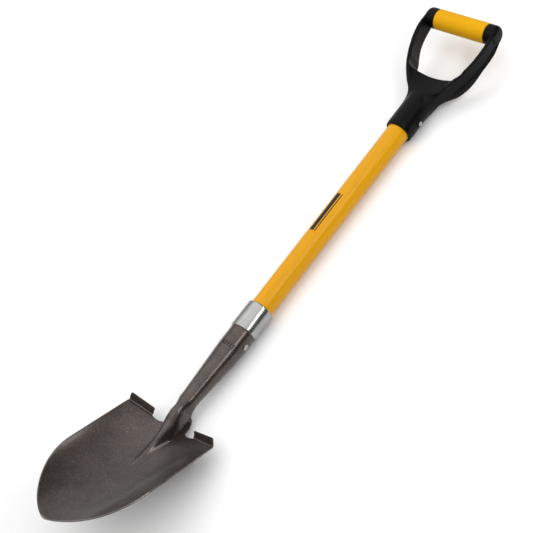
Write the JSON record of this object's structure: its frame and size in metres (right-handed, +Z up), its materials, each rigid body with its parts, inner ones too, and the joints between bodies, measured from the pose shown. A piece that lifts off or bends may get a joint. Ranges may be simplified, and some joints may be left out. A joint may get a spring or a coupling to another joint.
{
  "type": "garden spade",
  "caption": "Round-nosed garden spade with a dished steel head, turned steps, a ferrule, a straight glass-fibre shaft and a D-shaped hand grip.",
  "frame": {"origin": "centre of the footprint at ground height, with the spade lying on its back and the dished face up; the grip's socket touches the ground", "axes": "+Y runs along the shaft from the blade to the grip, +X is across the blade to the right of someone holding the grip and looking at the dished face, +Z is up, out of the dished face"},
  "size_m": [0.1518, 0.9094, 0.1124],
  "materials": {
    "head_coat": "speckled dark bronze powder coat with a metallic fleck",
    "ferrule_steel": "bright polished steel",
    "shaft_yellow": "glossy golden yellow resin over glass fibre",
    "plug_wood": "plain turned hardwood",
    "rivet_steel": "bright zinc-plated steel",
    "grip_black": "satin black moulding with a fine grain",
    "sleeve_yellow": "soft satin yellow moulding"
  },
  "bodies": {
    "root": {"head": "head_coat", "ferrule": "ferrule_steel", "shaft_tube": "shaft_yellow", "lower_plug": "plug_wood", "upper_plug": "plug_wood", "head_rivet": "rivet_steel", "grip_frame": "grip_black", "grip_sleeve": "sleeve_yellow", "grip_rivet": "rivet_steel"}
  },
  "joints": []
}
